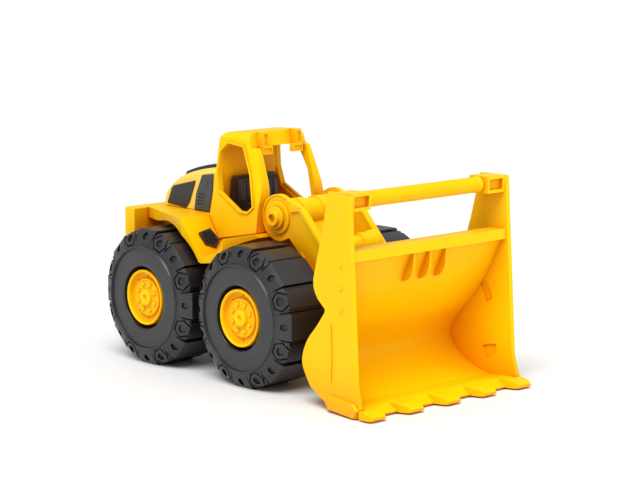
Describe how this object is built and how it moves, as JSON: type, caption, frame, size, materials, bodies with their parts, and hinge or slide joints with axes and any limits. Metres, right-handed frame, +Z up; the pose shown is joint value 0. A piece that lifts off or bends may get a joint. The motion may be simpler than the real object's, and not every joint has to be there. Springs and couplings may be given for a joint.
{
  "type": "toy wheel loader",
  "caption": "Chunky toy wheel loader with open cab, big black tyres, lifting arms and a wide tilting bucket with a carrying handle.",
  "frame": {"origin": "bottom centre of the bounding box, on the ground under the four tyres", "axes": "+X towards the bucket, +Y to the loader's left, +Z up"},
  "size_m": [0.3788, 0.2056, 0.2221],
  "materials": {
    "yellow_plastic": "satin moulded yellow",
    "pale_yellow_plastic": "satin moulded pale yellow",
    "black_plastic": "matte black",
    "grey_plastic": "matte dark grey",
    "tyre_black": "satin black moulded tyre",
    "steel": "plain bright rod"
  },
  "bodies": {
    "frame": {"chassis": "black_plastic", "chassis_screw_1": "steel", "chassis_screw_2": "steel", "chassis_screw_3": "steel", "chassis_screw_4": "steel", "body_shell": "yellow_plastic", "counterweight": "yellow_plastic", "hood": "pale_yellow_plastic", "hood_top_panel": "black_plastic", "hood_badge_panel_l": "black_plastic", "hood_badge_panel_r": "black_plastic", "hood_vent_l": "grey_plastic", "hood_vent_r": "grey_plastic", "grille_l": "black_plastic", "grille_r": "black_plastic", "cab": "yellow_plastic", "seat": "black_plastic", "front_tower": "yellow_plastic", "arm_pivot_bolt_l": "yellow_plastic", "arm_pivot_bolt_r": "yellow_plastic"},
    "rear_wheelset": {"rear_axle": "steel", "tyre_rear_l": "tyre_black", "tyre_rear_r": "tyre_black", "rim_rear_l": "yellow_plastic", "rim_rear_r": "yellow_plastic"},
    "front_wheelset": {"front_axle": "steel", "tyre_front_l": "tyre_black", "tyre_front_r": "tyre_black", "rim_front_l": "yellow_plastic", "rim_front_r": "yellow_plastic"},
    "lift_arms": {"lift_arm_l": "yellow_plastic", "lift_arm_r": "yellow_plastic", "arm_torque_tube": "yellow_plastic", "bucket_hinge_pin": "steel"},
    "bucket": {"bucket_pan": "yellow_plastic", "bucket_side_l": "yellow_plastic", "bucket_side_r": "yellow_plastic", "bucket_grip": "yellow_plastic"}
  },
  "joints": [
    {"name": "rear_axle_spin", "type": "hinge", "parent": "frame", "child": "rear_wheelset", "pos_m": [-0.12415, 0, 0.064], "axis": [0, 1, 0], "continuous": true},
    {"name": "front_axle_spin", "type": "hinge", "parent": "frame", "child": "front_wheelset", "pos_m": [0.013, 0, 0.064], "axis": [0, 1, 0], "continuous": true},
    {"name": "arm_lift", "type": "hinge", "parent": "frame", "child": "lift_arms", "pos_m": [0.00001, 0, 0.14784], "axis": [0, -1, 0], "range_deg": [0, 50]},
    {"name": "bucket_tilt", "type": "hinge", "parent": "lift_arms", "child": "bucket", "pos_m": [0.09857, 0, 0.07808], "axis": [0, 1, 0], "range_deg": [-12, 24]}
  ]
}
